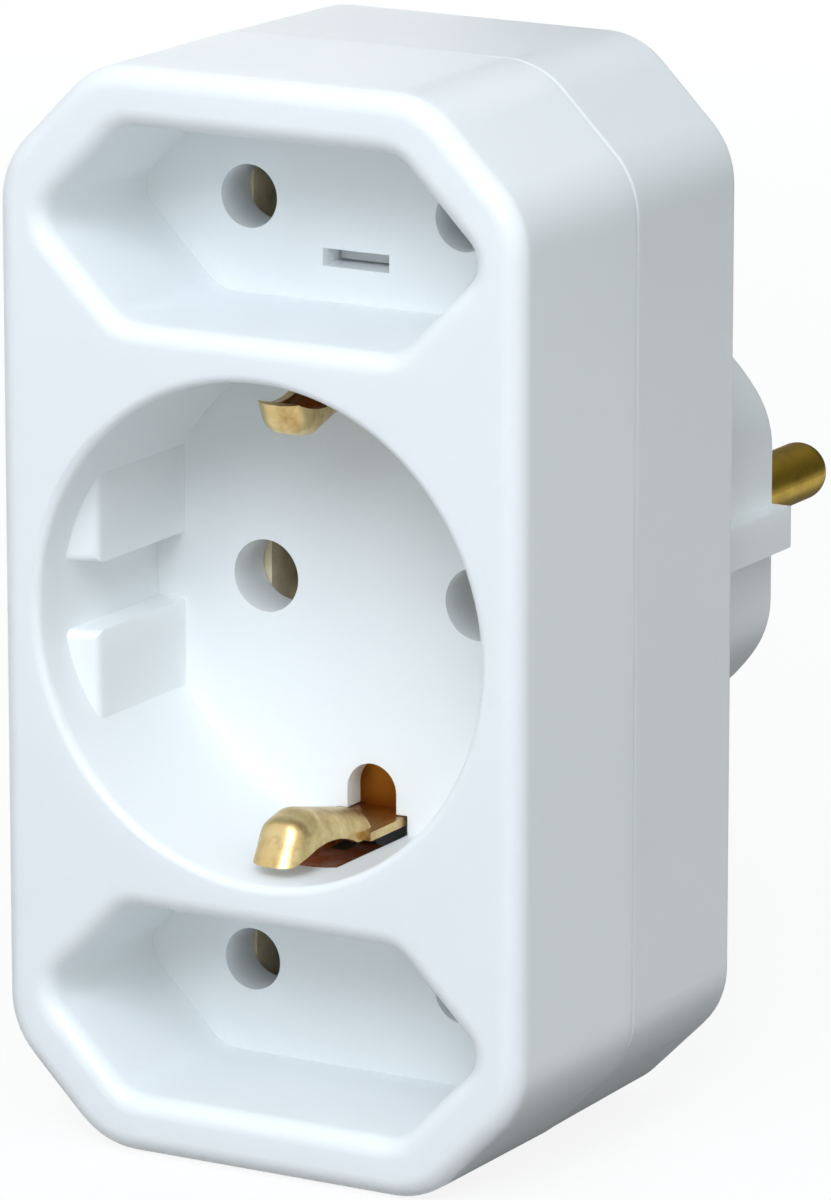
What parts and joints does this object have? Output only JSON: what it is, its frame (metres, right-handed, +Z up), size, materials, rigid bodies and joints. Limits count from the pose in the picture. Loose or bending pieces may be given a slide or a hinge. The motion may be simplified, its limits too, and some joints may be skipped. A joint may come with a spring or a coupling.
{
  "type": "plug adapter",
  "caption": "White plug adapter: octagonal housing with a round earthed outlet between flat unearthed outlets, and a round plug nose with brass pins at the back.",
  "frame": {"origin": "midway between the plug pins on the end face of the plug nose", "axes": "+Y along the plug pins, away from the outlets; +Z up along the long side of the housing; +X to the right seen from the outlets"},
  "size_m": [0.0458, 0.0725, 0.0854],
  "materials": {
    "shell": "glossy white moulded plastic",
    "plug_brass": "plain turned brass",
    "contact_brass": "stamped spring brass",
    "earth_brass": "stamped pale brass",
    "screw_steel": "zinc plated steel"
  },
  "bodies": {
    "root": {"front_shell": "shell", "rear_shell": "shell", "live_pin": "plug_brass", "neutral_pin": "plug_brass", "live_rail": "contact_brass", "neutral_rail": "contact_brass", "upper_live_contact": "contact_brass", "upper_neutral_contact": "contact_brass", "middle_live_contact": "contact_brass", "middle_neutral_contact": "contact_brass", "lower_live_contact": "contact_brass", "lower_neutral_contact": "contact_brass", "contact_rivets": "contact_brass", "earth_bracket": "earth_brass", "plug_earth_strip": "earth_brass", "earth_link": "earth_brass", "earth_rivets": "earth_brass", "housing_screw": "screw_steel"}
  },
  "joints": []
}
